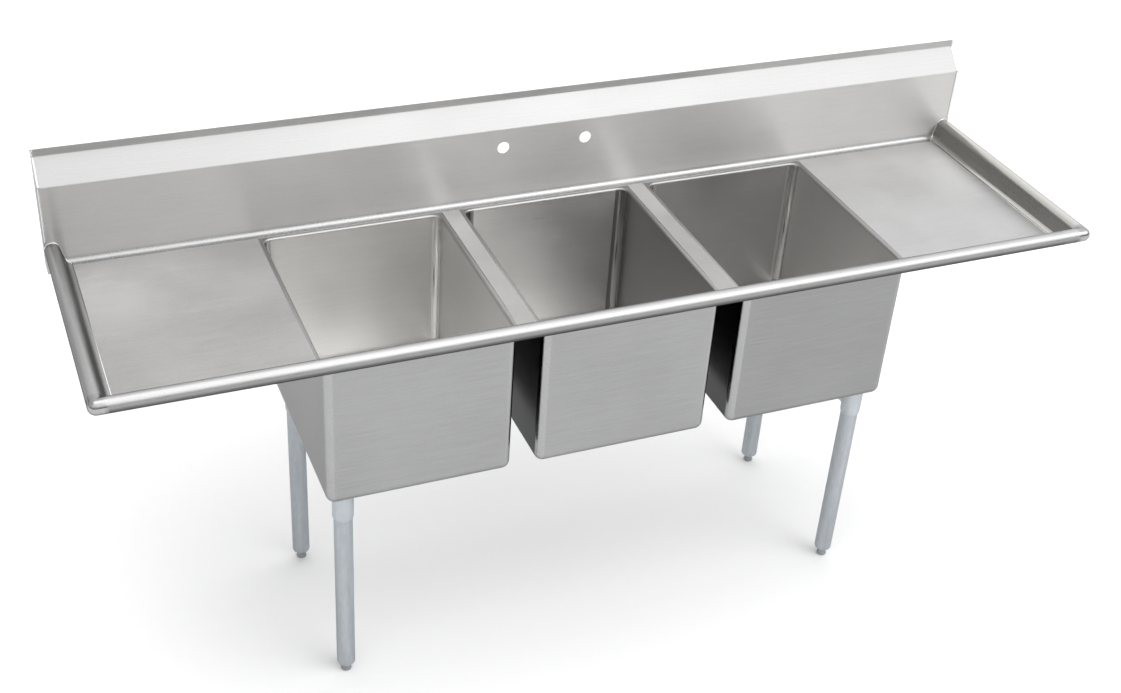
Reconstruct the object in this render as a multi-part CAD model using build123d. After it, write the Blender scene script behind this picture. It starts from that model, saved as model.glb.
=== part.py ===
from build123d import *
import os
from math import asin, cos, degrees, radians, sin

# Commercial three compartment sink: bent sheet top, welded bowls, basket drains and four tube legs.
# Millimetres.  X runs along the wall (+X right), +Y points at the wall, +Z up.
# Origin: middle of the footprint, on the floor.

# ---- driving dimensions -------------------------------------------------------------------------
bowl_width = 406.4          # 16 in inside, left to right
bowl_reach = 508.0          # 20 in inside, front to back
bowl_depth = 355.6          # 14 in, deck to bowl floor
bowl_gap = 60.6             # between the inside walls of neighbouring bowls
board_length = 457.2        # 18 in, bowl wall to the outside of the rolled rim
deck_height = 881.0         # top of the drainboards above the floor
deck_sheet = 1.5            # 16 gauge top
bowl_sheet = 1.2            # 18 gauge bowls
cove_radius = 19.05         # 3/4 in coved bowl corners

splash_depth = 45.5         # wall to the front face of the splash
splash_face = 181.0         # height of the upright face above the deck
splash_fold = 231.5         # where the sloping return meets the wall flange
splash_top = 248.0
splash_cove = 12.0
splash_tab = 25.0           # how far the splash ends reach below the deck behind the rims
back_ledge = 73.2           # wall to the bowl opening
faucet_spacing = 203.2      # 8 in centres
faucet_height = 134.0
faucet_radius = 14.3        # 1-1/8 in punched holes

roll_radius = 16.4          # outside of the rolled rim
roll_rise = 33.5            # roll centre above the deck
rim_cove = 12.0
rim_lean = 75.0             # slope of the rim's inner wall
rim_edge = 1.6              # flat left on the rim before its cove
rim_curl = 240.0            # how far the sheet curls round the roll
corner_arm = 75.0           # rim corner piece, outside corner to its straight ends

lip_bend = 5.0              # rounded edge of each bowl opening
lip_width = 10.0            # bowl wall to the weld line in the deck
end_strip = 24.0            # width of floor and front carried by each bowl end wall
dish_radius = 110.0
dish_drop = 5.0
dish_slope = 6.0
dish_bend = 20.0            # radius where the dish meets the floor and the drain seat
drain_hole = 44.5           # radius, 3-1/2 in opening

seat_flange = 57.0          # drain levels below are measured from the seat, bottom of the dish
seat_lip = 54.0
seat_height = 2.0
seat_edge = 0.6
throat = 41.0               # inside radius at the seat
body_outside = 43.5
body_bore = 38.5
shoulder_level = -6.0       # where the basket's flange sits
body_floor = -48.0
floor_metal = 2.5
outlet_radius = 19.3
spigot_radius = 23.8
spigot_end = -68.0
gasket_depth = 3.0
locknut_depth = 9.0
locknut_radius = 53.0
lug_reach = 58.0
lug_width = 10.0
tail_radius = 19.05         # 1-1/2 in tailpiece
tail_wall = 1.25
tail_end = -148.0
tail_flange = 2.0
nut_radius = 30.5           # coupling nut, over its rounded corners
nut_corner = 32.0
nut_above = 12.0            # how far it reaches up the spigot
nut_lip = 3.0
nut_lip_bore = 20.3

basket_flange = 40.6
basket_sheet = 0.9
basket_top = 36.5           # outside radius of the cup at its flange
basket_bottom = 35.0
basket_floor = -41.0
basket_hole = 1.9
basket_hole_circle = 29.5
basket_slot = 3.5
stem_radius = 2.5
stem_tip = 8.0              # how far the stem reaches below the basket
knob_radius = 8.0
stopper_radius = 24.0
stopper_depth = 6.3

leg_tube = 20.65            # 1-5/8 in tube
leg_wall = 1.6
leg_inset_side = 42.5       # leg centre from the bowl's inside wall
leg_inset_front = 43.3
leg_inset_back = 60.7
socket_radius = 23.75
socket_drop = 72.0          # underside of the bowl to the bottom of the socket
gusset_plate = 110.0
gusset_margin = 25.0        # leg centre to the plate's outer edges
plate_thickness = 3.0
web_depth = 50.0
web_tip = 6.0
screw_radius = 3.0
screw_length = 7.0
screw_drop = 46.0           # underside of the bowl to the set screw
screw_key = 1.7
shoulder_top = 28.0         # bottom of the tube above the floor
shoulder_radius = 8.0
insert_top = 54.0
foot_radius = 11.9
foot_edge = 2.4
foot_side = 4.0             # where the side ends and the taper to the neck starts
foot_neck = 9.9
neck_level = 9.0
stem_top = 60.0
thread_radius = 7.9
running_gap = 0.05
foot_gap = 0.3

# ---- places worked out from them ----------------------------------------------------------------
half_length = 1.5 * bowl_width + bowl_gap + board_length
rim_wall = (roll_rise - rim_cove * (1 - cos(radians(rim_lean))) + roll_radius * cos(radians(rim_lean))) \
    / sin(radians(rim_lean))
rim_width = (rim_cove + roll_radius) * sin(radians(rim_lean)) + rim_wall * cos(radians(rim_lean)) \
    + roll_radius
overall_reach = back_ledge + bowl_reach + lip_width + rim_edge + rim_width
y_wall = overall_reach / 2
y_front = -overall_reach / 2
y_face = y_wall - splash_depth
y_bowl_back = y_wall - back_ledge
y_bowl_front = y_bowl_back - bowl_reach
y_bowl = (y_bowl_back + y_bowl_front) / 2
y_board_back = y_bowl_back + lip_width
y_board_front = y_bowl_front - lip_width
bowl_pitch = bowl_width + bowl_gap
x_row = bowl_pitch + bowl_width / 2
x_board_in = x_row + lip_width
x_board_out = half_length - rim_width - rim_edge
x_roll = half_length - roll_radius
y_roll = y_front + roll_radius
z_roll = deck_height + roll_rise
z_floor = deck_height - bowl_depth
z_under = z_floor - bowl_sheet
z_drain = z_floor - dish_drop
splash_end = half_length - 1.4
shoulder_bottom = shoulder_top - shoulder_radius
bowl_centres = {"left": -bowl_pitch, "middle": 0.0, "right": bowl_pitch}


# ---- helpers ------------------------------------------------------------------------------------
def ray(angle):
    """Unit step in a section's plane."""
    return Vector(cos(radians(angle)), sin(radians(angle)))


def trace(start, heading, steps, inset=0.0):
    """Edges of one face of a bent sheet; inset moves that face into the metal, on the left."""
    here = Vector(*start) + ray(heading + 90) * inset
    edges = []
    for step in steps:
        if step[0] == "run":
            there = here + ray(heading) * step[1]
            edges.append(Line(here, there))
        else:
            turn, radius = step[1], step[2]
            side = 1 if turn > 0 else -1
            bend = radius - side * inset
            centre = here + ray(heading + 90) * (side * bend)
            middle = centre - ray(heading + 90 + turn / 2) * (side * bend)
            there = centre - ray(heading + 90 + turn) * (side * bend)
            edges.append(ThreePointArc(here, middle, there))
            heading += turn
        here = there
    return edges


def closed(edges, corners=()):
    """Face bounded by a chain of edges, closed through extra corner points."""
    loop = [edges[-1] @ 1, *[Vector(*corner) for corner in corners], edges[0] @ 0]
    closing = [Line(a, b) for a, b in zip(loop, loop[1:])]
    return Face(Wire([*edges, *closing]))


def sheet(start, heading, steps, thickness):
    """Section of a bent sheet.  The traced face is the outside, the metal lies to its left."""
    front = trace(start, heading, steps)
    back = trace(start, heading, steps, inset=thickness)
    ends = [Line(front[0] @ 0, back[0] @ 0), Line(front[-1] @ 1, back[-1] @ 1)]
    return Face(Wire([*front, *back, *ends]))


def along_x(section, x_start, x_end):
    """Extrude a section drawn in (Y, Z)."""
    plane = Plane(origin=(x_start, 0, 0), x_dir=(0, 1, 0), z_dir=(1, 0, 0))
    return extrude(plane.location * section, amount=x_end - x_start, dir=(1, 0, 0))


def along_y(section, y_start, y_end):
    """Extrude a section drawn in (X, Z)."""
    plane = Plane(origin=(0, y_start, 0), x_dir=(1, 0, 0), z_dir=(0, -1, 0))
    return extrude(plane.location * section, amount=y_end - y_start, dir=(0, 1, 0))


def spun(section, x, y, z, start=0.0, arc=360.0):
    """Revolve a section drawn in (radius, Z) about an upright axis."""
    plane = Plane(origin=(0, 0, 0), x_dir=(1, 0, 0), z_dir=(0, -1, 0))
    solid = revolve(plane.location * section, axis=Axis.Z, revolution_arc=arc)
    return Pos(x, y, z) * Rot(0, 0, start) * solid


def block(x, y, z):
    """Box from three (low, high) pairs."""
    size = [high - low for low, high in (x, y, z)]
    middle = [(high + low) / 2 for low, high in (x, y, z)]
    return Pos(*middle) * Box(*size)


def disc(radius, low, high, x=0.0, y=0.0):
    return Pos(x, y, (low + high) / 2) * Cylinder(radius, high - low)


def ring(outer, inner, low, high):
    return disc(outer, low, high) - disc(inner, low, high)


def outline(*points):
    """Closed straight-sided face."""
    return make_face(Polyline(*points, close=True))


def save(name, shape):
    """Write one piece, as one solid or as a group of separate solids."""
    solids = shape.solids()
    piece = solids[0] if len(solids) == 1 else Compound(children=solids)
    piece.label = name
    export_step(piece, f"parts/{name}.step")


# ---- the bent sheet top -------------------------------------------------------------------------
def rim_steps(curl):
    return [
        ("run", rim_edge),
        ("bend", -rim_lean, rim_cove),
        ("run", rim_wall),
        ("bend", curl, roll_radius),
    ]


def rim_section(edge):
    return sheet((edge, deck_height), 180, rim_steps(rim_curl), deck_sheet)


def rim_mass(edge):
    """Everything outside and below the rim's inner face, for coping what meets it."""
    steps = rim_steps(90 + rim_lean)
    edges = trace((edge, deck_height), 180, steps)
    low = deck_height - 2 * splash_tab
    return closed(edges, [((edges[-1] @ 1).X, low), (edge, low)])


def half_tan(angle):
    return sin(radians(angle)) / (1 + cos(radians(angle)))


def splash_steps(below):
    """Down the wall flange, the sloping return and the upright face, to a level below the deck."""
    run = splash_depth - deck_sheet
    rise = splash_fold - splash_face
    length = (run ** 2 + rise ** 2) ** 0.5
    turn = degrees(asin(run / length))
    fold_bend, return_bend = 2.0, 3.0
    fold_setback = fold_bend * half_tan(turn)
    return_setback = return_bend * half_tan(turn)
    return [
        ("run", splash_top - splash_fold - fold_setback),
        ("bend", -turn, fold_bend),
        ("run", length - fold_setback - return_setback),
        ("bend", turn, return_bend),
        ("run", splash_face - return_setback + below),
    ]


def backsplash():
    """Bent sheet whose ends stand behind the side rims, with the cove coped to the rims."""
    top = (y_wall - deck_sheet, deck_height + splash_top)
    ledge = [("bend", -90, splash_cove), ("run", y_face - splash_cove - y_board_back)]
    section = sheet(top, 270, splash_steps(-splash_cove) + ledge, deck_sheet)
    body = along_x(section, -x_board_out, x_board_out)
    upright = sheet(top, 270, splash_steps(splash_tab), deck_sheet)
    end = along_x(upright, -splash_end + deck_sheet, -x_board_out)
    cove = sheet((y_face, deck_height + splash_cove), 270, ledge, deck_sheet)
    cope = along_x(cove, -x_board_out - rim_width / 2, -x_board_out)
    cope &= block((-half_length, 0), (0, y_face), (0, deck_height + splash_top))
    cope -= along_y(rim_mass(-x_board_out), y_board_back - 1, y_wall)
    end += cope
    body += end
    body += mirror(end, about=Plane.YZ)
    for side in (-1, 1):
        hole = Cylinder(faucet_radius, 4 * deck_sheet, rotation=(90, 0, 0))
        body -= Pos(side * faucet_spacing / 2, y_face, deck_height + faucet_height) * hole
    return body


def splash_end_cap():
    """Closes the left end of the splash."""
    top = deck_height + splash_top
    edges = trace((y_wall - deck_sheet, top), 270, splash_steps(splash_tab))
    face = closed(edges, [(y_wall, deck_height - splash_tab), (y_wall, top)])
    return along_x(face, -splash_end, -splash_end + deck_sheet)


def drainboard():
    """Flat sheet at the left, welded to the rims, the splash ledge and the bowl's lip."""
    return block((-x_board_out, -x_board_in), (y_board_front, y_board_back), deck_levels())


def deck_levels():
    return (deck_height - deck_sheet, deck_height)


def side_rim():
    """Left rim, coped to the cove of the splash."""
    arc = ThreePointArc(
        (y_face - splash_cove, deck_height),
        (y_face - splash_cove * (1 - sin(radians(45))), deck_height + splash_cove * (1 - cos(radians(45)))),
        (y_face, deck_height + splash_cove),
    )
    low = deck_height - splash_tab
    behind = [(y_face + splash_tab, deck_height + splash_cove), (y_face + splash_tab, low),
              (y_face - splash_cove, low)]
    cove_mass = along_x(closed([arc], behind), -half_length - 1, -x_board_out + 1)
    return along_y(rim_section(-x_board_out), y_front + corner_arm, y_face) - cove_mass


def front_rim():
    return along_x(rim_section(y_board_front), -half_length + corner_arm, half_length - corner_arm)


def rim_corner():
    """Left front corner: two mitred lengths of rim and a ball where the rolls meet."""
    front = along_x(rim_section(y_board_front), -x_roll, -half_length + corner_arm)
    side = along_y(rim_section(-x_board_out), y_roll, y_front + corner_arm)
    far = 2 * corner_arm
    triangle = outline((-far, -far), (far, far), (far, -far))
    mitre = extrude(Pos(-x_roll, y_roll, deck_height - far) * triangle, amount=2 * far, dir=(0, 0, 1))
    half = arc_band(roll_radius, deck_sheet, 90 + rim_lean - rim_curl, 90)
    ball = spun(half, -x_roll, y_roll, z_roll, start=180, arc=90)
    return (front & mitre) + (side - mitre) + ball


def arc_band(radius, thickness, start, end):
    """Curved strip of a round section, between two angles."""
    def point(r, angle):
        return ray(angle) * r
    middle = (start + end) / 2
    inner = radius - thickness
    edges = [
        ThreePointArc(point(radius, start), point(radius, middle), point(radius, end)),
        Line(point(radius, end), point(inner, end)),
        ThreePointArc(point(inner, end), point(inner, middle), point(inner, start)),
        Line(point(inner, start), point(radius, start)),
    ]
    return Face(Wire(edges))


def divider():
    """Strip of deck between the left and middle bowls."""
    middle = -bowl_pitch / 2
    half = bowl_gap / 2 - lip_width
    return block((middle - half, middle + half), (y_board_front, y_board_back), deck_levels())


def board_channel():
    """Hat channel under the left drainboard, flanges up."""
    flange, width, drop, bend = 12.0, 30.0, 20.0, 2.0
    crown = bend + deck_sheet
    wall = drop - crown - bend
    steps = [
        ("run", flange),
        ("bend", 90, crown),
        ("run", wall),
        ("bend", -90, bend),
        ("run", width - 2 * bend),
        ("bend", -90, bend),
        ("run", wall),
        ("bend", 90, crown),
        ("run", flange),
    ]
    start = (y_bowl + width / 2 + crown + flange, deck_height - deck_sheet)
    section = sheet(start, 180, steps, deck_sheet)
    return along_x(section, -x_board_out + corner_arm, -x_board_in - bowl_sheet)


# ---- bowls --------------------------------------------------------------------------------------
def bowl_shell():
    """One coved bowl with its deck lip, centred on X = 0, in one piece before it is divided."""
    wall_steps = [
        ("bend", 90, lip_bend),
        ("run", bowl_depth - lip_bend - cove_radius),
        ("bend", -90, cove_radius),
    ]
    half_x, half_y = bowl_width / 2, bowl_reach / 2
    corner_x, corner_y = half_x - cove_radius, half_y - cove_radius
    section = sheet((cove_radius + lip_bend, deck_height), 180, wall_steps, bowl_sheet)
    shell = block((-corner_x, corner_x), (-corner_y, corner_y), (z_under, z_floor))
    for turn, x, y in ((0, 1, 1), (90, -1, 1), (180, -1, -1), (270, 1, -1)):
        shell += spun(section, x * corner_x, y * corner_y, 0, start=turn, arc=90)
    for turn, reach, run in ((0, corner_x, corner_y), (180, corner_x, corner_y),
                             (90, corner_y, corner_x), (270, corner_y, corner_x)):
        side = along_y(Pos(reach, 0) * section, -run, run)
        shell += Rot(0, 0, turn) * side
    lip_levels = (deck_height - bowl_sheet, deck_height)
    lip = block((-half_x - lip_width, half_x + lip_width), (-half_y - lip_width, half_y + lip_width),
                lip_levels)
    mouth = RectangleRounded(2 * (half_x + lip_bend), 2 * (half_y + lip_bend), cove_radius + lip_bend)
    lip -= extrude(Pos(0, 0, deck_height - deck_sheet) * mouth, amount=2 * deck_sheet, dir=(0, 0, 1))
    shell += lip
    shell -= disc(dish_radius, z_under - 1, z_floor + 1)
    shell += spun(dish_section(), 0, 0, 0)
    return Pos(0, y_bowl, 0) * shell


def dish_section():
    """Shallow stamped dish that leads to the drain opening, in (radius, Z)."""
    entry = 2.0
    turn = radians(dish_slope)
    fall = (dish_drop - 2 * dish_bend * (1 - cos(turn))) / sin(turn)
    across = 2 * dish_bend * sin(turn) + fall * cos(turn)
    steps = [
        ("run", entry),
        ("bend", dish_slope, dish_bend),
        ("run", fall),
        ("bend", -dish_slope, dish_bend),
        ("run", dish_radius - entry - across - drain_hole),
    ]
    return sheet((dish_radius, z_floor), 180, steps, bowl_sheet)


def bowl_pieces():
    """The shell divided along its weld lines into a wrap and two end walls."""
    shell = bowl_shell()
    cut = bowl_width / 2 - end_strip
    reach = (y_front, y_wall)
    height = (z_drain - 5, deck_height + 5)
    far = bowl_width
    return {
        "wrap": shell & block((-cut, cut), reach, height),
        "left_wall": shell & block((-far, -cut), reach, height),
        "right_wall": shell & block((cut, far), reach, height),
    }


# ---- basket drains, each centred on X = 0, Y = 0 with the drain seat at Z = 0 --------------------
def strainer_body():
    """Deep drawn body: flange on the seat, shoulder for the basket, floor and threaded spigot."""
    under = body_floor - floor_metal
    drip = 1.5
    section = outline(
        (throat, seat_height), (seat_lip, seat_height), (seat_flange, seat_edge), (seat_flange, 0),
        (body_outside, 0), (body_outside, under), (spigot_radius, under), (spigot_radius, spigot_end),
        (outlet_radius, spigot_end), (outlet_radius, body_floor), (body_bore, body_floor + drip),
        (body_bore, shoulder_level), (throat, shoulder_level),
    )
    return spun(section, 0, 0, 0)


def strainer_gasket():
    return ring(locknut_radius + 3, body_outside + 0.1, -bowl_sheet - gasket_depth, -bowl_sheet)


def strainer_locknut():
    """Ring nut with six lugs."""
    top = -bowl_sheet - gasket_depth
    low = top - locknut_depth
    nut = disc(locknut_radius, low, top)
    for turn in range(0, 360, 60):
        lug = block((body_outside + 3, lug_reach), (-lug_width / 2, lug_width / 2), (low, top))
        nut += Rot(0, 0, turn) * lug
    return nut - disc(body_outside + running_gap, low - 1, top + 1)


def tailpiece():
    bore = tail_radius - tail_wall
    pipe = ring(tail_radius, bore, tail_end, spigot_end)
    return pipe + ring(spigot_radius - 1, bore, spigot_end - tail_flange, spigot_end)


def coupling_nut():
    """Hexagon nut that clamps the tailpiece's flange to the spigot."""
    seat = spigot_end - tail_flange
    top, low = spigot_end + nut_above, seat - nut_lip
    hexagon = RegularPolygon(radius=nut_corner, side_count=6)
    nut = extrude(Pos(0, 0, low) * hexagon, amount=top - low, dir=(0, 0, 1))
    nut &= disc(nut_radius, low, top)
    nut -= disc(spigot_radius + running_gap, seat, top + 1)
    return nut - disc(nut_lip_bore, low - 1, top)


def strainer_basket():
    """Perforated cup with a flange, a lifting knob and the stem that carries the stopper."""
    flange_under = shoulder_level + running_gap
    flange_top = flange_under + basket_sheet
    floor_top = basket_floor + basket_sheet
    cup = outline(
        (0, basket_floor), (basket_bottom, basket_floor), (basket_top, flange_under),
        (basket_flange, flange_under), (basket_flange, flange_top),
        (basket_top - basket_sheet, flange_top), (basket_bottom - basket_sheet, floor_top),
        (0, floor_top),
    )
    basket = spun(cup, 0, 0, 0)
    slot_side = (basket_bottom - 3, basket_top + 1.5)
    slot_levels = (basket_floor + 8, shoulder_level - 6)
    for turn in range(0, 360, 30):
        hole = disc(basket_hole, basket_floor - 1, floor_top + 1, x=basket_hole_circle)
        slot = block(slot_side, (-basket_slot / 2, basket_slot / 2), slot_levels)
        basket -= Rot(0, 0, turn) * hole
        basket -= Rot(0, 0, turn + 15) * slot
    knob_top = -4.0
    stem = outline(
        (0, basket_floor - stem_tip), (4.5, basket_floor - stem_tip), (5, basket_floor - 6.4),
        (stem_radius, basket_floor - 6.4), (stem_radius, knob_top - 8), (6.5, knob_top - 6),
        (knob_radius, knob_top - 3), (6.5, knob_top - 0.5), (0, knob_top),
    )
    return basket + spun(stem, 0, 0, 0)


def basket_stopper():
    """Rubber disc under the basket that closes the outlet."""
    return ring(stopper_radius, stem_radius + running_gap, basket_floor - stopper_depth, basket_floor)


# ---- legs, each centred on X = 0, Y = 0 at true height, facing the middle of a bowl (+X, +Y) ------
def gusset():
    """Plate under the bowl with the socket for the tube and one web across the corner."""
    top = z_under
    face = top - plate_thickness
    low = top - socket_drop
    bore = leg_tube + running_gap
    middle = gusset_plate / 2 - gusset_margin
    corner, mouth_bevel, mouth_height = 8.0, 0.9, 6.0
    plate = extrude(Pos(middle, middle, face) * RectangleRounded(gusset_plate, gusset_plate, corner),
                    amount=plate_thickness, dir=(0, 0, 1))
    socket = spun(outline((bore, face), (socket_radius, face), (socket_radius - 0.6, low + mouth_height),
                          (bore + mouth_bevel, low), (bore, low)), 0, 0, 0)
    reach = gusset_plate - gusset_margin
    inner = socket_radius - leg_wall
    web = outline((inner, face), (reach, face), (reach, face - web_tip), (inner, face - web_depth))
    web = along_y(web, -plate_thickness / 2, plate_thickness / 2)
    return plate + socket + Rot(0, 0, 45) * web


def leg_tube_piece():
    return ring(leg_tube, leg_tube - leg_wall, shoulder_top, z_under - plate_thickness)


def foot_insert():
    """Rounded plug in the end of the tube, bored for the foot's thread."""
    bore = thread_radius + running_gap
    plug = leg_tube - leg_wall - running_gap
    flat = leg_tube - shoulder_radius
    shoulder = ThreePointArc(
        (flat, shoulder_bottom),
        (flat + shoulder_radius * sin(radians(45)), shoulder_top - shoulder_radius * cos(radians(45))),
        (leg_tube, shoulder_top),
    )
    inside = [(plug, shoulder_top), (plug, insert_top), (bore, insert_top), (bore, shoulder_bottom)]
    return spun(closed([shoulder], inside), 0, 0, 0)


def foot():
    """Rounded button with a neck, on a threaded stem."""
    top = shoulder_bottom - foot_gap
    face = foot_radius - foot_edge
    edge = ThreePointArc(
        (face, 0),
        (face + foot_edge * sin(radians(45)), foot_edge * (1 - cos(radians(45)))),
        (foot_radius, foot_edge),
    )
    side = [(foot_radius, foot_side), (foot_neck, neck_level), (foot_neck, top), (thread_radius, top),
            (thread_radius, stem_top), (0, stem_top), (0, 0)]
    return spun(closed([edge], side), 0, 0, 0)


def set_screw():
    """Socket screw that grips the tube, on the side of the leg that faces the wall."""
    level = z_under - screw_drop
    key_depth = 3.0
    end = leg_tube + screw_length
    screw = Pos(leg_tube + screw_length / 2, 0, level) * Cylinder(screw_radius, screw_length,
                                                                  rotation=(0, 90, 0))
    hexagon = Plane(origin=(end - key_depth, 0, level), x_dir=(0, 1, 0), z_dir=(1, 0, 0))
    key = RegularPolygon(radius=screw_key, side_count=6)
    screw -= extrude(hexagon.location * key, amount=key_depth + 1, dir=(1, 0, 0))
    return Rot(0, 0, 90) * screw


def screw_hole():
    """Cut through the socket's wall for the set screw."""
    length = 10.0
    hole = Cylinder(screw_radius + running_gap, length, rotation=(0, 90, 0))
    return Rot(0, 0, 90) * Pos(leg_tube + length / 2, 0, z_under - screw_drop) * hole


# ---- write every piece ----------------------------------------------------------------------------
def main():
    os.makedirs("parts", exist_ok=True)
    save("backsplash", backsplash())
    save("front_rim", front_rim())
    handed = {
        "splash_end": splash_end_cap(),
        "drainboard": drainboard(),
        "side_rim": side_rim(),
        "rim_corner": rim_corner(),
        "divider": divider(),
        "board_channel": board_channel(),
    }
    for name, piece in handed.items():
        save(f"{name}_left", piece)
        save(f"{name}_right", mirror(piece, about=Plane.YZ))

    shell = bowl_pieces()
    drain = {
        "strainer_body": strainer_body(),
        "strainer_gasket": strainer_gasket(),
        "strainer_locknut": strainer_locknut(),
        "tailpiece": tailpiece(),
        "strainer_basket": strainer_basket(),
        "basket_stopper": basket_stopper(),
    }
    nuts = [Pos(x, y_bowl, z_drain) * coupling_nut() for x in bowl_centres.values()]
    save("coupling_nuts", Compound(children=nuts))
    for side, x in bowl_centres.items():
        for name, piece in shell.items():
            save(f"{side}_bowl_{name}", Pos(x, 0, 0) * piece)
        for name, piece in drain.items():
            save(f"{side}_{name}", Pos(x, y_bowl, z_drain) * piece)

    x_leg = x_row - leg_inset_side
    y_legs = {"front": y_bowl_front + leg_inset_front, "rear": y_bowl_back - leg_inset_back}
    screws = []
    for end, y in y_legs.items():
        for side, sign in (("left", -1), ("right", 1)):
            support = gusset()
            if sign > 0:
                support = mirror(support, about=Plane.YZ)
            if end == "rear":
                support = mirror(support, about=Plane.XZ)
            place = Pos(sign * x_leg, y, 0)
            save(f"{end}_{side}_gusset", place * (support - screw_hole()))
            save(f"{end}_{side}_leg", place * leg_tube_piece())
            save(f"{end}_{side}_foot_insert", place * foot_insert())
            save(f"{end}_{side}_foot", place * foot())
            screws.append(place * set_screw())
    save("set_screws", Compound(children=screws))


if __name__ == "__main__":
    main()
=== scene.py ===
import math

import bmesh
import bpy
from mathutils import Matrix, Vector


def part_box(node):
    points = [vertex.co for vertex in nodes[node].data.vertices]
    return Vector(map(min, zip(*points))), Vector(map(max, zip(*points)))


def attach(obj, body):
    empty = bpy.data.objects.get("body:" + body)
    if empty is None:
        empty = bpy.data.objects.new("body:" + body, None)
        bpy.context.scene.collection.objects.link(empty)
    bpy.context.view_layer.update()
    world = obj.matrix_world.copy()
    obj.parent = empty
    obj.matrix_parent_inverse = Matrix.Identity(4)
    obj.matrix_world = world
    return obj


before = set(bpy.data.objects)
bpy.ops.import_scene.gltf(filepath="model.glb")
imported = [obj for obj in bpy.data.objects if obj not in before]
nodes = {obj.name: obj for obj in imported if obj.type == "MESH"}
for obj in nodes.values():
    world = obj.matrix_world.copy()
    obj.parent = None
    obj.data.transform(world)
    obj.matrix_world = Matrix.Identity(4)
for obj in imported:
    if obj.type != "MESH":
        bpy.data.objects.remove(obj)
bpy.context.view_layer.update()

SIDES = ("left", "middle", "right")
CORNERS = tuple(f"{end}_{side}" for end in ("front", "rear") for side in ("left", "right"))
EDGE_TINT = 0.6             # how much of its reflection a satin sheet keeps at a glancing angle
BOWL_TINT = 0.5
GRAIN_DEPTH = 0.00002       # height of the brushing
GRAIN_SPAN = (0.42, 0.58)   # the part of the mixed noise that runs from dark to light
FINE_SCALE = 900            # noise scales of the sheet, from the finest down
MOTTLE_SCALE = 350
STREAK_SCALE = 210
CLOUD_SCALE = 3.5
FINE_SHARE = 0.3            # how much of the mix each noise makes
STREAK_SHARE = 0.15
MOTTLE_SHARE = 0.25
CLOUD_SHARE = 0.3
ZINC_SPAN = (0.35, 0.85)
ZINC_CRYSTALS = 160.0
ZINC_METALLIC = 0.75
SHEET_WAVE = 0.0012         # height of the slow waves in the sheet


# ---- material building ---------------------------------------------------------------------------
def new_material(name):
    material = bpy.data.materials.new(name)
    material.use_nodes = True
    tree = material.node_tree
    tree.nodes.clear()
    out = tree.nodes.new("ShaderNodeOutputMaterial")
    shader = tree.nodes.new("ShaderNodeBsdfPrincipled")
    tree.links.new(shader.outputs["BSDF"], out.inputs["Surface"])
    return material, tree, shader


def add(tree, kind, **values):
    """A node with its attributes and input values set."""
    node = tree.nodes.new(kind)
    for key, value in values.items():
        if hasattr(node, key):
            setattr(node, key, value)
        else:
            node.inputs[key.replace("_", " ")].default_value = value
    return node


def noise(tree, stretch, scale, detail=3.0, roughness=0.5):
    """Noise in object space, stretched by a different factor along each axis."""
    place = add(tree, "ShaderNodeTexCoord")
    mapping = add(tree, "ShaderNodeMapping")
    mapping.inputs["Scale"].default_value = stretch
    tree.links.new(place.outputs["Object"], mapping.inputs["Vector"])
    texture = add(tree, "ShaderNodeTexNoise", Scale=scale, Detail=detail, Roughness=roughness)
    tree.links.new(mapping.outputs["Vector"], texture.inputs["Vector"])
    return texture.outputs["Fac"]


def remap(tree, value, low, high, start=0.3, end=0.7):
    node = add(tree, "ShaderNodeMapRange")
    for name, number in (("From Min", start), ("From Max", end), ("To Min", low), ("To Max", high)):
        node.inputs[name].default_value = number
    tree.links.new(value, node.inputs["Value"])
    return node.outputs["Result"]


def math_node(tree, operation, *values):
    """Arithmetic on sockets or numbers."""
    node = add(tree, "ShaderNodeMath", operation=operation)
    for socket, value in zip(node.inputs, values):
        if isinstance(value, (int, float)):
            socket.default_value = value
        else:
            tree.links.new(value, socket)
    return node.outputs[0]


def shade(tree, factor, dark, light):
    node = add(tree, "ShaderNodeMix", data_type="RGBA")
    node.inputs[6].default_value = (*dark, 1)
    node.inputs[7].default_value = (*light, 1)
    tree.links.new(factor, node.inputs["Factor"])
    return node.outputs[2]


def bump(tree, shader, height, distance, strength=1.0):
    node = add(tree, "ShaderNodeBump")
    node.inputs["Strength"].default_value = strength
    node.inputs["Distance"].default_value = distance
    tree.links.new(height, node.inputs["Height"])
    tree.links.new(node.outputs["Normal"], shader.inputs["Normal"])


def blend_of(tree, factor, a, b, kind="FLOAT"):
    """Mix of two sockets, numbers or colours."""
    node = add(tree, "ShaderNodeMix", data_type=kind)
    first, second, result = (6, 7, 2) if kind == "RGBA" else (2, 3, 0)
    for index, value in ((first, a), (second, b)):
        if isinstance(value, (int, float, tuple)):
            node.inputs[index].default_value = (*value, 1) if isinstance(value, tuple) else value
        else:
            tree.links.new(value, node.inputs[index])
    tree.links.new(factor, node.inputs["Factor"])
    return node.outputs[result]


def brush(tree, shader, direction, amount):
    """Stretch the highlights along a direction, which lies across the brushing."""
    tangent = add(tree, "ShaderNodeCombineXYZ")
    for socket, value in zip(tangent.inputs, direction):
        socket.default_value = value
    tree.links.new(tangent.outputs[0], shader.inputs["Tangent"])
    shader.inputs["Anisotropic"].default_value = amount


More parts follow.
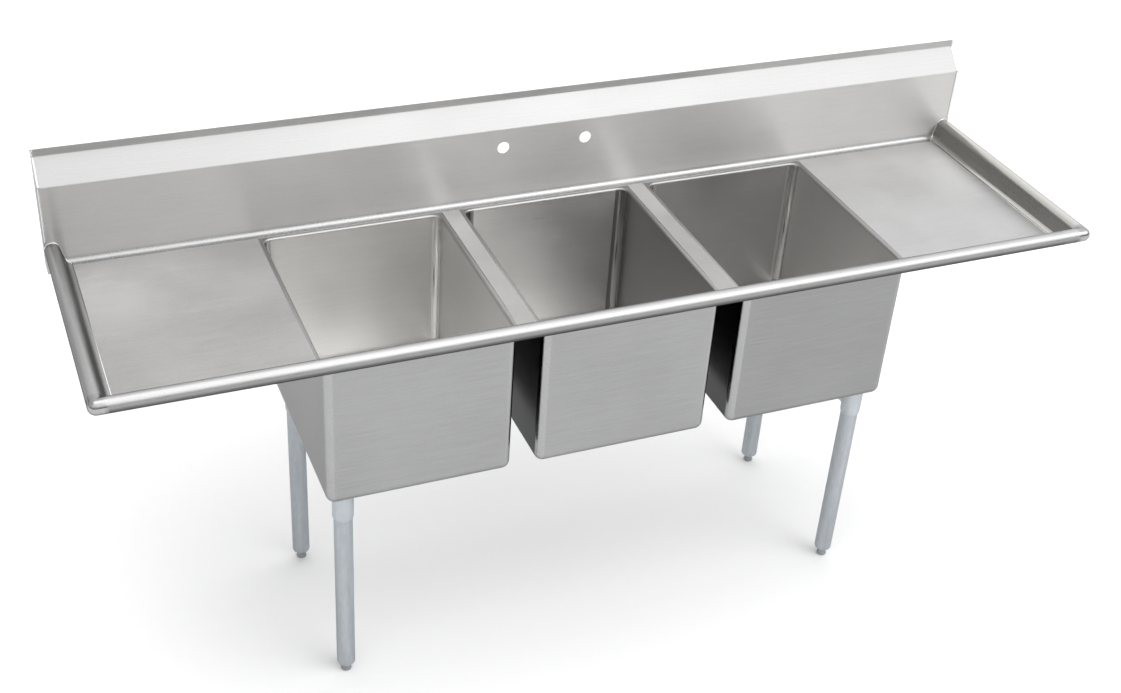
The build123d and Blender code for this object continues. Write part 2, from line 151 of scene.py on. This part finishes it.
def steel(name, finish, grain, tangent=None, anisotropy=0.0, edge_tint=EDGE_TINT, layers=()):
    """Stainless sheet: fine stretched grain over slow cloudy changes.

    A finish is (dark, light, low roughness, high roughness).  Each layer is (mask, finish), and
    covers the ones before it where its mask is 1.
    """
    material, tree, shader = new_material(name)
    shader.inputs["Metallic"].default_value = 1.0
    shader.inputs["Specular Tint"].default_value = (edge_tint, edge_tint, edge_tint, 1)
    fine = noise(tree, grain, FINE_SCALE, detail=4)
    streaks = noise(tree, grain, STREAK_SCALE, detail=3)
    mottle = noise(tree, EVEN, MOTTLE_SCALE, detail=3)
    cloud = noise(tree, EVEN, CLOUD_SCALE, detail=3)
    mixed = math_node(tree, "MULTIPLY", streaks, STREAK_SHARE)
    for part, share in ((fine, FINE_SHARE), (mottle, MOTTLE_SHARE), (cloud, CLOUD_SHARE)):
        mixed = math_node(tree, "MULTIPLY_ADD", part, share, mixed)
    spread = remap(tree, mixed, 0, 1, *GRAIN_SPAN)
    tone = shade(tree, spread, *finish[:2])
    gloss = remap(tree, mixed, *finish[2:], *GRAIN_SPAN)
    for mask, over in layers:
        factor = mask(tree)
        tone = blend_of(tree, factor, tone, shade(tree, spread, *over[:2]), "RGBA")
        gloss = blend_of(tree, factor, gloss, remap(tree, mixed, *over[2:], *GRAIN_SPAN))
    tree.links.new(tone, shader.inputs["Base Color"])
    tree.links.new(gloss, shader.inputs["Roughness"])
    wave = math_node(tree, "MULTIPLY_ADD", cloud, SHEET_WAVE / GRAIN_DEPTH, fine)
    bump(tree, shader, wave, GRAIN_DEPTH)
    if tangent:
        brush(tree, shader, tangent, anisotropy)
    return material


# ---- masks for the layers, each a function of the node tree ---------------------------------------
def place_axis(tree, output, index):
    """One coordinate of the point (output "Object") or of its normal (output "Normal")."""
    place = add(tree, "ShaderNodeTexCoord")
    axes = add(tree, "ShaderNodeSeparateXYZ")
    tree.links.new(place.outputs[output], axes.inputs[0])
    return axes.outputs[index]


# Mask for painted shade: 1 where the normal points down, so the lower side of each roll is painted dark.
def facing_down(tree):
    return remap(tree, place_axis(tree, "Normal", 2), 1, 0, start=-0.2, end=0.55)


def facing_front(tree):
    away = math_node(tree, "ABSOLUTE", place_axis(tree, "Normal", 1), 0.0)
    return remap(tree, away, 0, 1, start=0.3, end=0.8)


# Mask for the cove at the foot of the splash, which gets a smoother finish and painted shade.
def near_deck(tree):
    return remap(tree, place_axis(tree, "Object", 2), 1, 0, start=DECK + 0.008, end=DECK + 0.014)


def splash_return(tree):
    """The sloping return and the flange at the top of the splash, where the sheet gets painted light."""
    level = place_axis(tree, "Object", 2)
    return remap(tree, level, 0, 1, start=SPLASH_TOP - 0.003, end=SPLASH_TOP + 0.003)


# Mask for painted shade on the upright flange at the top of the splash.
def splash_flange(tree):
    level = place_axis(tree, "Object", 2)
    return remap(tree, level, 0, 1, start=SPLASH_FOLD - 0.002, end=SPLASH_FOLD + 0.002)


# Mask for painted light on the deck: 1 towards the splash.
def near_splash(tree):
    return remap(tree, place_axis(tree, "Object", 1), 0, 1, start=-0.05, end=0.24)


def beside_mitre(tree):
    """The arm of a rim corner that runs along the side."""
    across = math_node(tree, "ABSOLUTE", place_axis(tree, "Object", 0), 0.0)
    from_end = math_node(tree, "SUBTRACT", BALL.x, across)
    from_front = math_node(tree, "SUBTRACT", place_axis(tree, "Object", 1), BALL.y)
    return math_node(tree, "GREATER_THAN", from_front, from_end)


def corner_ball(tree):
    """The polished ball where the front and side rolls meet."""
    place = add(tree, "ShaderNodeCombineXYZ")
    tree.links.new(math_node(tree, "ABSOLUTE", place_axis(tree, "Object", 0), 0.0), place.inputs[0])
    for index in (1, 2):
        tree.links.new(place_axis(tree, "Object", index), place.inputs[index])
    away = add(tree, "ShaderNodeVectorMath", operation="DISTANCE")
    tree.links.new(place.outputs[0], away.inputs[0])
    away.inputs[1].default_value = BALL
    return remap(tree, away.outputs["Value"], 1, 0, start=0.020, end=0.028)


def inside_bowl(tree):
    """The inside of a bowl and the top of its lip."""
    across = add(tree, "ShaderNodeMath", operation="WRAP")
    tree.links.new(place_axis(tree, "Object", 0), across.inputs[0])
    across.inputs[1].default_value = BOWL_PITCH / 2
    across.inputs[2].default_value = -BOWL_PITCH / 2
    to_middle = add(tree, "ShaderNodeCombineXYZ")
    tree.links.new(math_node(tree, "MULTIPLY", across.outputs[0], -1.0), to_middle.inputs[0])
    for index, middle in ((1, BOWL_MIDDLE.y), (2, BOWL_MIDDLE.z)):
        away = math_node(tree, "SUBTRACT", middle, place_axis(tree, "Object", index))
        tree.links.new(away, to_middle.inputs[index])
    dot = add(tree, "ShaderNodeVectorMath", operation="DOT_PRODUCT")
    tree.links.new(add(tree, "ShaderNodeTexCoord").outputs["Normal"], dot.inputs[0])
    tree.links.new(to_middle.outputs[0], dot.inputs[1])
    return math_node(tree, "GREATER_THAN", dot.outputs["Value"], 0.0)


def coved_corner(tree):
    """The upright rounded corners, ground smoother than the walls."""
    across = math_node(tree, "ABSOLUTE", place_axis(tree, "Normal", 0), 0.0)
    away = math_node(tree, "ABSOLUTE", place_axis(tree, "Normal", 1), 0.0)
    return remap(tree, math_node(tree, "MINIMUM", across, away), 0, 1, start=0.12, end=0.30)


def bowl_floor_shade(tree):
    """The floor of a bowl and the foot of its walls, where painted shade darkens the inside."""
    level = remap(tree, place_axis(tree, "Object", 2), 1, 0, start=DECK - 0.20, end=DECK - 0.10)
    flat = remap(tree, place_axis(tree, "Normal", 2), 0, 1, start=0.3, end=0.9)
    return math_node(tree, "MULTIPLY", math_node(tree, "MULTIPLY", level, flat), inside_bowl(tree))


def bowl_lip(tree):
    level = remap(tree, place_axis(tree, "Object", 2), 0, 1, start=DECK - 0.008, end=DECK - 0.0006)
    return math_node(tree, "MULTIPLY", level, inside_bowl(tree))


def zinc(name, dark, light, rough):
    """Galvanised steel: mottled crystals and upright stains over a dull coat."""
    material, tree, shader = new_material(name)
    shader.inputs["Metallic"].default_value = ZINC_METALLIC
    shader.inputs["Specular Tint"].default_value = (EDGE_TINT, EDGE_TINT, EDGE_TINT, 1)
    place = add(tree, "ShaderNodeTexCoord")
    mapping = add(tree, "ShaderNodeMapping")
    mapping.inputs["Scale"].default_value = (1, 1, 0.35)
    tree.links.new(place.outputs["Object"], mapping.inputs["Vector"])
    crystals = add(tree, "ShaderNodeTexVoronoi", Scale=ZINC_CRYSTALS)
    tree.links.new(mapping.outputs["Vector"], crystals.inputs["Vector"])
    stain = noise(tree, (1, 1, 0.05), 60, detail=4)
    tone = add(tree, "ShaderNodeMath", operation="MULTIPLY_ADD")
    tree.links.new(crystals.outputs["Color"], tone.inputs[0])
    tone.inputs[1].default_value = 0.2
    tree.links.new(stain, tone.inputs[2])
    tree.links.new(shade(tree, remap(tree, tone.outputs[0], 0, 1, *ZINC_SPAN), dark, light),
                   shader.inputs["Base Color"])
    tree.links.new(remap(tree, tone.outputs[0], *rough, *ZINC_SPAN), shader.inputs["Roughness"])
    bump(tree, shader, crystals.outputs["Distance"], 0.00004)
    return material


def plain(name, colour, rough, metallic=0.0, grain_scale=260, depth=0.00006):
    """Rubber, cast brass and dark screws: one tone broken by fine grain."""
    material, tree, shader = new_material(name)
    shader.inputs["Metallic"].default_value = metallic
    grain = noise(tree, (1, 1, 1), grain_scale, detail=5)
    dark = tuple(0.8 * c for c in colour)
    light = tuple(min(1.0, 1.15 * c) for c in colour)
    tree.links.new(shade(tree, grain, dark, light), shader.inputs["Base Color"])
    tree.links.new(remap(tree, grain, rough * 0.85, min(1.0, rough * 1.15)), shader.inputs["Roughness"])
    bump(tree, shader, grain, depth)
    return material


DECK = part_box("divider_left")[1][2]
BOWL_PITCH = (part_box("right_tailpiece")[0][0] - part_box("left_tailpiece")[0][0]) / 2
BALL = Vector((1.1110, -0.30578, 0.9145))    # centre of the ball at the right corner of the roll
SPLASH_TOP = 1.062          # where the splash's upright face ends
SPLASH_FOLD = 1.1125        # where the sloping return meets the flange
BOWL_MIDDLE = Vector((0.0, sum(corner[1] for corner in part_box("middle_tailpiece")) / 2, 1.2))


def grey(dark, light, low_rough, high_rough, warmth=(1.0, 1.0, 1.0)):
    """A finish from two grey levels, tinted a little."""
    return (tuple(dark * w for w in warmth), tuple(light * w for w in warmth), low_rough, high_rough)


WARM = (1.0, 0.99, 0.975)
COOL = (0.99, 0.992, 1.0)
OLIVE = (1.0, 0.985, 0.94)
DECK_FINISH = grey(0.38, 0.46, 0.40, 0.52, WARM)
# painted light: the right drainboard lighter than the left
DECK_RIGHT_PAINTED_LIGHT = grey(0.47, 0.55, 0.40, 0.52)
# painted light: the deck lighter towards the splash
DECK_BACK_PAINTED_LIGHT = grey(0.54, 0.63, 0.40, 0.52, WARM)
SPLASH_FINISH = grey(0.53, 0.60, 0.42, 0.50, WARM)
# painted light: the sloping return lighter than the splash's face
RETURN_PAINTED_LIGHT = grey(0.60, 0.68, 0.46, 0.54)
# painted shade: the top flange darker than the splash
FLANGE_PAINTED_SHADE = grey(0.38, 0.45, 0.36, 0.46, WARM)
# the cove at the deck: ground smoother, and painted darker as shade in the crease
COVE_FINISH_AND_SHADE = grey(0.40, 0.47, 0.24, 0.32)
RIM_FINISH = grey(0.44, 0.52, 0.38, 0.46)
# painted shade on the lower side of the rims, where the roll turns down
RIM_UNDER_PAINTED_SHADE = grey(0.13, 0.18, 0.34, 0.42)
LEFT_RIM_FINISH = grey(0.42, 0.50, 0.30, 0.40)
# smoother right side rim, painted lighter than the left with an olive painted reflection
RIGHT_RIM_FINISH_AND_REFLECTION = grey(0.58, 0.66, 0.16, 0.24, OLIVE)
OUTER_CORNER_FINISH = grey(0.34, 0.41, 0.10, 0.16, COOL)
BALL_FINISH = grey(0.34, 0.42, 0.05, 0.10)
RIM_TINT = 0.15
FRONT_FINISH = grey(0.31, 0.37, 0.28, 0.38, COOL)
# painted shade: the right bowl's front darker than the other fronts
RIGHT_FRONT_PAINTED_SHADE = grey(0.27, 0.32, 0.28, 0.38, COOL)
SIDE_FINISH = grey(0.39, 0.45, 0.28, 0.38, COOL)
# painted shade: near black on the outsides of the bowls, under them and where they face each other
GAP_PAINTED_SHADE = grey(0.10, 0.14, 0.16, 0.24, COOL)
# Painted shade inside each bowl: a level under 1 darkens it, most on the middle bowl's end walls and the
# right bowl's wrap.
INSIDE_PAINTED_SHADE = {"left": (0.94, 0.93), "middle": (0.97, 0.42), "right": (0.65, 0.85)}     # wrap, end walls
SKY_BEHIND = (0.76, 1.32)   # radiance behind the sink, at the left and at the right
SKY_HORIZON = 0.35          # low down all round, where the studio is dark
SKY_FRONT = (0.9, 3.2)      # added by the broad light in front, at the left and at the right
SKY_OVERHEAD = 1.5          # added straight above
ALONG_X = (0.02, 1, 1)
ALONG_Y = (1, 0.02, 1)
ALONG_Z = (1, 1, 0.02)
EVEN = (1, 1, 1)
ACROSS_X = (0, 1, 1)        # highlights widen across the brushing
ACROSS_Y = (1, 0, 1)
materials = {
    "deck": steel("deck_steel", DECK_FINISH, ALONG_X, ACROSS_X, 0.6,
                  layers=[(near_splash, DECK_BACK_PAINTED_LIGHT)]),
    "deck_right_painted_light": steel("deck_steel_right_painted_light", DECK_RIGHT_PAINTED_LIGHT, ALONG_X, ACROSS_X, 0.6,
                        layers=[(near_splash, DECK_BACK_PAINTED_LIGHT)]),
    "splash": steel("splash_steel", SPLASH_FINISH, ALONG_X, ACROSS_X, 0.95,
                    layers=[(near_deck, COVE_FINISH_AND_SHADE), (splash_return, RETURN_PAINTED_LIGHT),
                            (splash_flange, FLANGE_PAINTED_SHADE)]),
    # the end caps painted darker than the splash, as shade along its ends
    "splash_end": steel("splash_end_shaded_steel", grey(0.36, 0.42, 0.30, 0.40), ALONG_Z),
    "rim_x": steel("front_rim_steel", RIM_FINISH, ALONG_X, edge_tint=RIM_TINT,
                   layers=[(facing_down, RIM_UNDER_PAINTED_SHADE)]),
    "polished": steel("polished_steel", grey(0.40, 0.48, 0.10, 0.18), EVEN),
    # polished weld and seam beads, painted much lighter than the sheet as painted highlights along the
    # joints
    "weld": steel("weld_steel", grey(0.80, 0.92, 0.16, 0.28, WARM), EVEN, edge_tint=1.0),
    "seam": steel("seam_steel", grey(0.60, 0.72, 0.14, 0.24), EVEN, edge_tint=0.8),
    "raw_weld": steel("raw_weld_steel", grey(0.30, 0.44, 0.30, 0.45, OLIVE), EVEN),
    "zinc": zinc("galvanised_steel", (0.33, 0.355, 0.38), (0.47, 0.50, 0.53), (0.34, 0.50)),
    "collar": zinc("galvanised_socket", (0.42, 0.45, 0.48), (0.54, 0.57, 0.60), (0.38, 0.52)),
    "foot": zinc("foot_metal", (0.27, 0.285, 0.30), (0.38, 0.40, 0.415), (0.32, 0.48)),
    "rubber": plain("black_rubber", (0.025, 0.025, 0.027), 0.75),
    "brass": plain("cast_brass", (0.62, 0.48, 0.24), 0.38, metallic=1.0),
    "screw": plain("dark_screw", (0.10, 0.10, 0.11), 0.45, metallic=1.0),
}


def bowl_steel(name, tone, outside, grain, tangent, front=FRONT_FINISH):
    """Bowl sheet: satin inside with smoother corners, duller outside, the deck's finish on the lip. The
    inside, its corners and its floor are darkened by painted shade.
    """
    inside = grey(0.95 * tone, 1.03 * tone, 0.34, 0.44, WARM)
    # the inside corners are ground smoother and also painted darker as shade in the corner
    corner = grey(0.80 * tone, 0.88 * tone, 0.12, 0.18, WARM)
    # painted shade: the floor of the bowl darker than its walls
    floor = grey(0.66 * tone, 0.72 * tone, 0.34, 0.44, WARM)
    layers = [(facing_front, front), (coved_corner, OUTER_CORNER_FINISH), (inside_bowl, inside),
              (lambda tree: math_node(tree, "MULTIPLY", coved_corner(tree), inside_bowl(tree)), corner),
              (bowl_floor_shade, floor),
              (bowl_lip, DECK_FINISH)]
    return steel(name, outside, grain, tangent, 0.4, BOWL_TINT, layers)


for side, finish, tint in (("left", LEFT_RIM_FINISH, RIM_TINT), ("right", RIGHT_RIM_FINISH_AND_REFLECTION, EDGE_TINT)):
    # the side rims and corners get the same painted shade on their lower side
    under = (facing_down, RIM_UNDER_PAINTED_SHADE)
    materials[f"rim_{side}"] = steel(f"{side}_rim_steel", finish, ALONG_Y, edge_tint=tint, layers=[under])
    materials[f"corner_{side}"] = steel(f"{side}_corner_steel", RIM_FINISH, EVEN, edge_tint=tint, layers=[
        (beside_mitre, finish), under, (corner_ball, BALL_FINISH)])
for side, (wrap_shade_level, wall_shade_level) in INSIDE_PAINTED_SHADE.items():
    front = RIGHT_FRONT_PAINTED_SHADE if side == "right" else FRONT_FINISH
    materials[f"{side}_wrap"] = bowl_steel(f"{side}_bowl_wrap_steel", wrap_shade_level, GAP_PAINTED_SHADE,
                                           ALONG_X, ACROSS_X, front)
    for end in ("left", "right"):
        # the walls that face the next bowl get the painted shade of the gap
        outside = SIDE_FINISH if side == end else GAP_PAINTED_SHADE
        materials[f"{side}_{end}_wall"] = bowl_steel(f"{side}_bowl_{end}_wall_steel", wall_shade_level, outside,
                                                     ALONG_Y, ACROSS_Y, front)


# ---- carried-over CAD pieces ---------------------------------------------------------------------
def dress(name, material, bevel=0.0, smooth=35):
    """Give a CAD node its material and soft edges, leaving its mesh alone."""
    node = nodes[name]
    node.data.materials.clear()
    node.data.materials.append(materials[material])
    if bevel:
        edge = node.modifiers.new("edge", "BEVEL")
        edge.width = bevel
        edge.segments = 2
        edge.limit_method = "ANGLE"
        edge.angle_limit = math.radians(smooth)
    return node


dress("backsplash", "splash")
for name in ("drainboard_left", "divider_left", "divider_right"):
    dress(name, "deck")
dress("drainboard_right", "deck_right_painted_light")
dress("front_rim", "rim_x")
for side in ("left", "right"):
    dress(f"side_rim_{side}", f"rim_{side}")
    dress(f"rim_corner_{side}", f"corner_{side}")
    dress(f"splash_end_{side}", "splash_end")
    dress(f"board_channel_{side}", "zinc")
for side in SIDES:
    dress(f"{side}_bowl_wrap", f"{side}_wrap")
    dress(f"{side}_bowl_left_wall", f"{side}_left_wall")
    dress(f"{side}_bowl_right_wall", f"{side}_right_wall")
    dress(f"{side}_strainer_body", "polished")
    dress(f"{side}_strainer_basket", "polished")
    dress(f"{side}_tailpiece", "polished")
    dress(f"{side}_strainer_locknut", "brass")
    dress(f"{side}_strainer_gasket", "rubber")
    dress(f"{side}_basket_stopper", "rubber")
dress("coupling_nuts", "brass")
dress("set_screws", "screw")
for corner in CORNERS:
    dress(f"{corner}_gusset", "collar")
    dress(f"{corner}_leg", "zinc")
    dress(f"{corner}_foot_insert", "zinc")
    dress(f"{corner}_foot", "foot")


# ---- weld beads and ground seams, added over the CAD pieces ----------------------------------------
ROLL_RADIUS = 0.0164
RIM_COVE = 0.012
RIM_LEAN = math.radians(75)
RIM_EDGE = 0.0016
SPLASH_COVE = 0.012
BEAD_SIDES = 10
RIM_WELD = (0.0030, 0.0012)     # width and height of each bead
RIM_SEAM = (0.0018, 0.0004)
BOWL_SEAM = (0.0016, 0.0003)
SPLASH_TRIM = (0.0046, 0.0009)
GUSSET_WELD = (0.0044, 0.0018)
WELD_MARGIN = 0.0014            # keeps the rim weld inside the rim's outermost face
WELD_STEP = 0.0007
SEAM_RADIUS = 0.004             # corner of the seam round a bowl
TRIM_INSET = 0.0030
SOCKET_WELD = 0.0242            # radius of the fillet round a leg
STITCH_SHIFT = 0.028            # middle of each stitch from the middle of the plate's edge
STITCH_LENGTH = 0.022


def bead(name, paths, width, height, material, slot, ripple=0.0, pitch=0.0026):
    """Sweep an oval along each path of (point, up) pairs, closed at the ends, rippled like a weld."""
    mesh = bpy.data.meshes.new(name)
    shape = bmesh.new()
    for path in paths:
        rings, travelled = [], 0.0
        for index, (point, up) in enumerate(path):
            before, after = path[max(index - 1, 0)][0], path[min(index + 1, len(path) - 1)][0]
            along = (after - before).normalized()
            side = along.cross(up).normalized()
            out = side.cross(along)
            travelled += (point - before).length
            swell = 1 + ripple * math.sin(2 * math.pi * travelled / pitch)
            ring = []
            for step in range(BEAD_SIDES):
                angle = 2 * math.pi * step / BEAD_SIDES
                offset = side * (width / 2 * math.cos(angle)) + out * (height * math.sin(angle))
                ring.append(shape.verts.new(point + offset * swell))
            rings.append(ring)
        for ring, following in zip(rings, rings[1:]):
            for step in range(BEAD_SIDES):
                turn = (step + 1) % BEAD_SIDES
                shape.faces.new((ring[step], ring[turn], following[turn], following[step]))
        shape.faces.new(list(reversed(rings[0])))
        shape.faces.new(rings[-1])
    bmesh.ops.recalc_face_normals(shape, faces=shape.faces)
    shape.to_mesh(mesh)
    shape.free()
    for face in mesh.polygons:
        face.use_smooth = True
    mesh.materials.append(materials[material])
    piece = bpy.data.objects.new(name, mesh)
    bpy.context.scene.collection.objects.link(piece)
    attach(piece, "sink")
    return piece


def dense(points, step):
    """Points every step along a broken line."""
    spaced = [points[0]]
    for start, end in zip(points, points[1:]):
        count = max(1, round((end - start).length / step))
        spaced += [start.lerp(end, index / count) for index in range(1, count + 1)]
    return spaced


def rim_profile():
    """Points of the left rim's inner face over the roll, as (X, Z), with their outward directions."""
    low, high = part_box("side_rim_left")
    roll = Vector((low[0] + ROLL_RADIUS, high[2] - ROLL_RADIUS))
    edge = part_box("drainboard_left")[0][0]
    cove = Vector((edge - RIM_EDGE, DECK + RIM_COVE))
    profile = []
    for step in range(9):
        angle = RIM_LEAN * step / 8
        out = Vector((math.sin(angle), math.cos(angle)))
        profile.append((cove - RIM_COVE * out, out))
    for step in range(25):
        angle = math.pi / 2 - RIM_LEAN + math.radians(190) * step / 24
        out = Vector((math.cos(angle), math.sin(angle)))
        profile.append((roll + ROLL_RADIUS * out, out))
    return profile


def splash_surface(z):
    """Y of the splash's face at a level, round its cove at the deck."""
    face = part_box("side_rim_left")[1][1]
    rise = min(z - DECK, SPLASH_COVE)
    return face - SPLASH_COVE + math.sqrt(max(0.0, SPLASH_COVE ** 2 - (SPLASH_COVE - rise) ** 2))


def rim_welds():
    """The bead where each side rim meets the splash, and the ground seam along the rim's foot."""
    for side, sign in (("left", 1), ("right", -1)):
        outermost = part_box("side_rim_left")[0][0] + WELD_MARGIN
        path = []
        for at, out in rim_profile():
            point = Vector((sign * max(at.x, outermost), splash_surface(at.y) - 0.0004, at.y))
            path.append((point, Vector((sign * out.x, 0, out.y))))
        points = dense([point for point, up in path], WELD_STEP)
        ups = [min(path, key=lambda pair: (pair[0] - point).length)[1] for point in points]
        bead(f"rim_weld_{side}", [list(zip(points, ups))], *RIM_WELD, "weld", "polished_steel", 0.10)
        low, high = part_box(f"drainboard_{side}")
        edge = (low[0] if side == "left" else high[0]) - sign * RIM_EDGE / 2
        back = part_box("side_rim_left")[1][1] - SPLASH_COVE
        up = Vector((0, 0, 1))
        ends = [(Vector((edge, low[1], DECK)), up), (Vector((edge, back, DECK)), up)]
        bead(f"rim_seam_{side}", [ends], *RIM_SEAM, "seam", "polished_steel")


def bowl_seams():
    """The ground weld between each bowl's lip and the deck."""
    radius = SEAM_RADIUS
    for side in SIDES:
        low_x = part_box(f"{side}_bowl_left_wall")[0][0]
        high_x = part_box(f"{side}_bowl_right_wall")[1][0]
        low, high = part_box(f"{side}_bowl_wrap")
        corners = []
        for x, y, start in ((high_x, high[1], 0), (low_x, high[1], 90),
                            (low_x, low[1], 180), (high_x, low[1], 270)):
            inset = Vector((-radius if x == high_x else radius, -radius if y == high[1] else radius, 0))
            for step in range(5):
                angle = math.radians(start + 90 * step / 4)
                spoke = Vector((math.cos(angle), math.sin(angle), 0)) * radius
                corners.append(Vector((x, y, DECK)) + inset + spoke)
        loop = corners + corners[:1]
        up = Vector((0, 0, 1))
        path = [(point, up) for point in loop]
        bead(f"{side}_bowl_seam", [path], *BOWL_SEAM, "seam", "brushed_steel")


def splash_trims():
    """The rounded edge at each end of the splash, from the flange down to the rim."""
    for side, sign in (("left", -1), ("right", 1)):
        low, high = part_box(f"splash_end_{side}")
        x = sign * (high[0] if side == "right" else -low[0]) - sign * TRIM_INSET
        thickness = high[0] - low[0]
        wall = high[1] - thickness
        corners = [(wall, high[2] - 0.0016), (wall, SPLASH_FOLD),
                   (low[1], SPLASH_TOP), (low[1], BALL.z + 0.0180)]
        points = dense([Vector((x, y, z)) for y, z in corners], 0.004)
        up = Vector((0, -1, 0.35))
        path = [(point, up) for point in points]
        bead(f"splash_trim_{side}", [path], *SPLASH_TRIM, "seam", "polished_steel")


def gusset_welds():
    """Fillet round each leg socket under its plate, and stitches between the plate and the bowl."""
    for corner in CORNERS:
        low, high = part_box(f"{corner}_gusset")
        leg_low, leg_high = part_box(f"{corner}_leg")
        centre = (Vector(leg_low) + Vector(leg_high)) / 2
        centre.z = leg_high[2] - 0.0006
        ring = []
        for step in range(121):
            angle = 2 * math.pi * step / 120
            out = Vector((math.cos(angle), math.sin(angle), 0))
            ring.append((centre + out * SOCKET_WELD, out - Vector((0, 0, 1))))
        paths = [ring]
        middle = (Vector(low) + Vector(high)) / 2
        for x, y, along in ((low[0], middle.y, Vector((0, 1, 0))), (high[0], middle.y, Vector((0, 1, 0))),
                            (middle.x, low[1], Vector((1, 0, 0))), (middle.x, high[1], Vector((1, 0, 0)))):
            for shift in (-STITCH_SHIFT, STITCH_SHIFT):
                start = Vector((x, y, high[2] - 0.0012)) + along * (shift - STITCH_LENGTH / 2)
                points = [start + along * (STITCH_LENGTH * step / 44) for step in range(45)]
                paths.append([(point, Vector((0, 0, -1))) for point in points])
        bead(f"{corner}_gusset_welds", paths, *GUSSET_WELD, "raw_weld", "galvanised_steel", 0.14)


rim_welds()
bowl_seams()
splash_trims()
gusset_welds()


# ---- stage, light and camera ---------------------------------------------------------------------
FLOOR_HALF = 40.0
CAMERA_PLACE = (-1.3113, -2.7700, 2.6964)
CAMERA_TURN = -24.504       # degrees, from straight ahead towards the right
CAMERA_DOWN = 34.106
CAMERA_TILT = 4.149
CAMERA_LENS = 51.33


def make_floor():
    half = FLOOR_HALF
    mesh = bpy.data.meshes.new("floor")
    corners = [(-half, -half, 0), (half, -half, 0), (half, half, 0), (-half, half, 0)]
    mesh.from_pydata(corners, [], [(0, 1, 2, 3)])
    floor = bpy.data.objects.new("floor", mesh)
    bpy.context.scene.collection.objects.link(floor)
    material, tree, shader = new_material("floor_paint")
    speckle = noise(tree, (1, 1, 1), 40)
    tree.links.new(shade(tree, speckle, (0.89, 0.89, 0.89), (0.91, 0.91, 0.91)), shader.inputs["Base Color"])
    shader.inputs["Roughness"].default_value = 0.8
    mesh.materials.append(material)


def make_world():
    """Studio sky: a broad soft light in front, and a dimmer one behind that brightens to the right."""
    world = bpy.data.worlds.new("studio")
    bpy.context.scene.world = world
    world.use_nodes = True
    tree = world.node_tree
    direction = add(tree, "ShaderNodeSeparateXYZ")
    place = add(tree, "ShaderNodeTexCoord")
    tree.links.new(place.outputs["Generated"], direction.inputs["Vector"])
    across, away, up = direction.outputs
    in_front = remap(tree, away, 1, 0, start=-0.45, end=-0.1)
    behind = remap(tree, across, *SKY_BEHIND, start=-0.6, end=0.6)
    wall = blend_of(tree, in_front, behind, 1.4 * SKY_HORIZON)
    around = blend_of(tree, remap(tree, up, 0, 1, start=0.04, end=0.20), SKY_HORIZON, wall)
    box_height = remap(tree, up, 0, 1, start=0.26, end=0.64)
    box_top = remap(tree, up, 1, 0, start=0.88, end=0.98)
    box = math_node(tree, "MULTIPLY", math_node(tree, "MULTIPLY", box_height, box_top), in_front)
    box_light = math_node(tree, "MULTIPLY", box, remap(tree, across, *SKY_FRONT, start=0.04, end=0.34))
    overhead = math_node(tree, "MULTIPLY", remap(tree, up, 0, 1, start=0.86, end=0.98), SKY_OVERHEAD)
    total = math_node(tree, "ADD", math_node(tree, "ADD", around, box_light), overhead)
    tree.links.new(total, tree.nodes["Background"].inputs["Strength"])
    tree.nodes["Background"].inputs["Color"].default_value = (1, 1, 1, 1)


def make_camera():
    """Camera at the viewing angle of the reference, with its small tilt."""
    camera = bpy.data.cameras.new("camera")
    camera.sensor_width = 36.0
    camera.lens = CAMERA_LENS
    camera.clip_end = 120.0
    holder = bpy.data.objects.new("camera", camera)
    bpy.context.scene.collection.objects.link(holder)
    turn = Matrix.Rotation(math.radians(CAMERA_TURN), 4, "Z")
    pitch = Matrix.Rotation(math.radians(90 - CAMERA_DOWN), 4, "X")
    roll = Matrix.Rotation(math.radians(CAMERA_TILT), 4, "Z")
    holder.matrix_world = Matrix.Translation(CAMERA_PLACE) @ turn @ pitch @ roll
    bpy.context.scene.camera = holder


make_world()
make_floor()
make_camera()
bpy.context.scene.view_settings.view_transform = "Standard"
